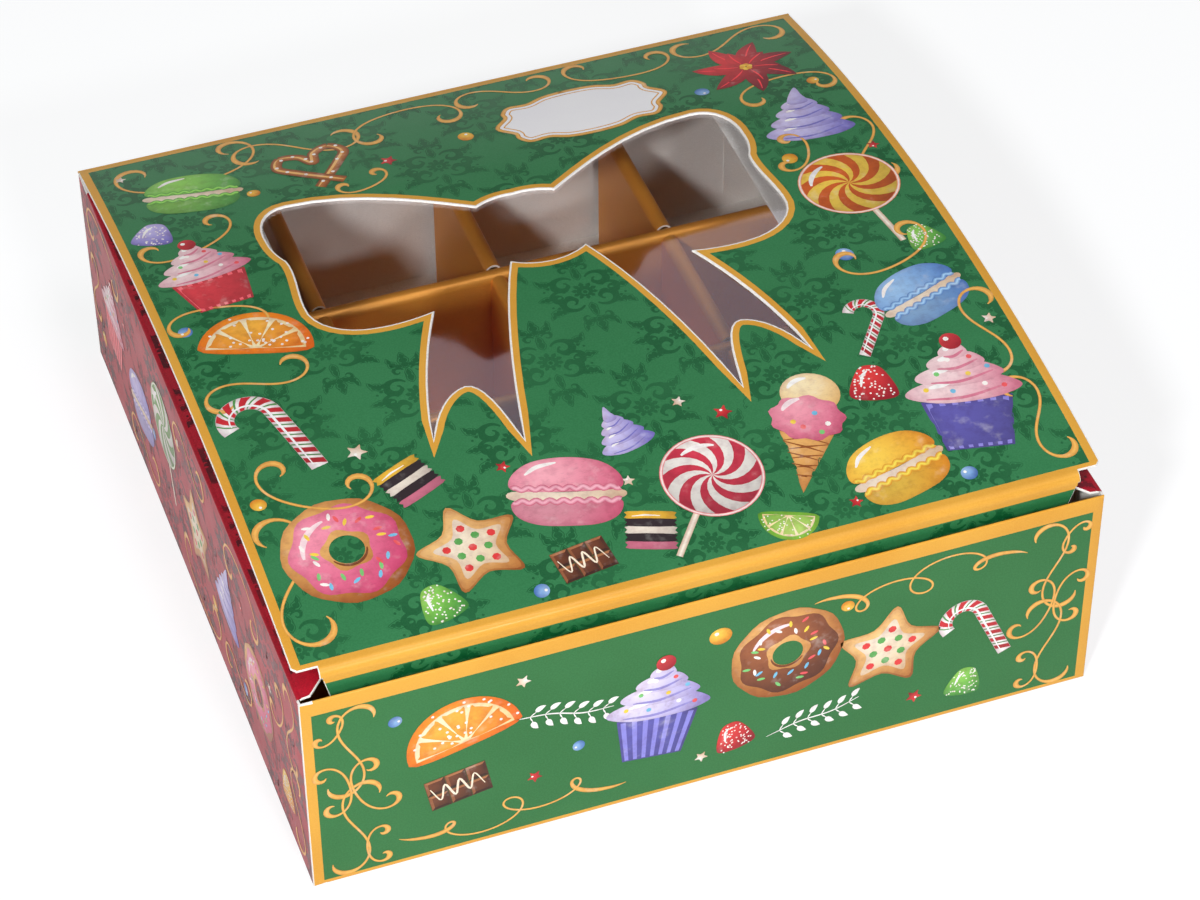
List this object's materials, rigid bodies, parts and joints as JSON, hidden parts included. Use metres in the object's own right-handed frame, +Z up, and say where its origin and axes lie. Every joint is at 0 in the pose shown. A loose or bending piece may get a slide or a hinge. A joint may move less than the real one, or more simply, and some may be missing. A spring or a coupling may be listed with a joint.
{
  "type": "sweet box",
  "caption": "Square folding carton for sweets with a hinged lid, a bow-shaped film window, tuck and dust flaps, and a gold card insert parted into cells.",
  "frame": {"origin": "middle of the carton's footprint, on the face it stands on", "axes": "+Z up, front wall and tuck flap towards -Y, back crease of the lid towards +Y, +X to the right seen from the front"},
  "size_m": [0.18, 0.183, 0.0689],
  "materials": {
    "green_print": "printed green damask with gold border and varnish, white inside",
    "red_print": "printed dark red damask with varnish, white inside",
    "gold_print": "printed gold band with varnish",
    "white_board": "bare white board",
    "gold_card": "satin gold coated card with white cut edges",
    "clear_film": "clear glossy film"
  },
  "bodies": {
    "tray": {"bottom_panel": "white_board", "front_wall": "green_print", "back_wall": "green_print", "left_wall": "red_print", "right_wall": "red_print", "corner_tab_front_left": "white_board", "corner_tab_front_right": "white_board", "corner_tab_back_left": "white_board", "corner_tab_back_right": "white_board"},
    "lid": {"lid_panel": "green_print", "front_fold": "gold_print", "window_film": "clear_film"},
    "tuck": {"tuck_flap": "green_print"},
    "dust_left": {"dust_flap_left": "red_print"},
    "dust_right": {"dust_flap_right": "red_print"},
    "insert": {"row_floor_1": "gold_card", "row_floor_2": "gold_card", "row_floor_3": "gold_card", "row_floor_4": "gold_card", "row_ridge_1": "gold_card", "row_ridge_2": "gold_card", "row_ridge_3": "gold_card", "cross_ridge_1_1": "gold_card", "cross_ridge_1_2": "gold_card", "cross_ridge_1_3": "gold_card", "cross_ridge_2_1": "gold_card", "cross_ridge_2_2": "gold_card", "cross_ridge_2_3": "gold_card", "cross_ridge_3_1": "gold_card", "cross_ridge_3_2": "gold_card", "cross_ridge_3_3": "gold_card", "cross_ridge_4_1": "gold_card", "cross_ridge_4_2": "gold_card", "cross_ridge_4_3": "gold_card"}
  },
  "joints": [
    {"name": "lid_hinge", "type": "hinge", "parent": "tray", "child": "lid", "pos_m": [0, 0.0912, 0.0565], "axis": [-1, 0, 0], "range_deg": [0, 120]},
    {"name": "tuck_crease", "type": "hinge", "parent": "lid", "child": "tuck", "pos_m": [0, -0.08954, 0.06029], "axis": [-1, 0, 0], "range_deg": [0, 60]},
    {"name": "dust_crease_left", "type": "hinge", "parent": "tray", "child": "dust_left", "pos_m": [-0.0897, 0, 0.056], "axis": [0, -1, 0], "range_deg": [0, 60]},
    {"name": "dust_crease_right", "type": "hinge", "parent": "tray", "child": "dust_right", "pos_m": [0.0897, 0, 0.056], "axis": [0, 1, 0], "range_deg": [0, 60]},
    {"name": "insert_lift", "type": "slide", "parent": "tray", "child": "insert", "axis": [0, 0, 1], "range_m": [0, 0.016]}
  ],
  "couplings": [
    {"joint": "tuck_crease", "follows": "lid_hinge", "ratio": 0.4},
    {"joint": "dust_crease_left", "follows": "lid_hinge", "ratio": 0.45},
    {"joint": "dust_crease_right", "follows": "lid_hinge", "ratio": 0.45}
  ]
}
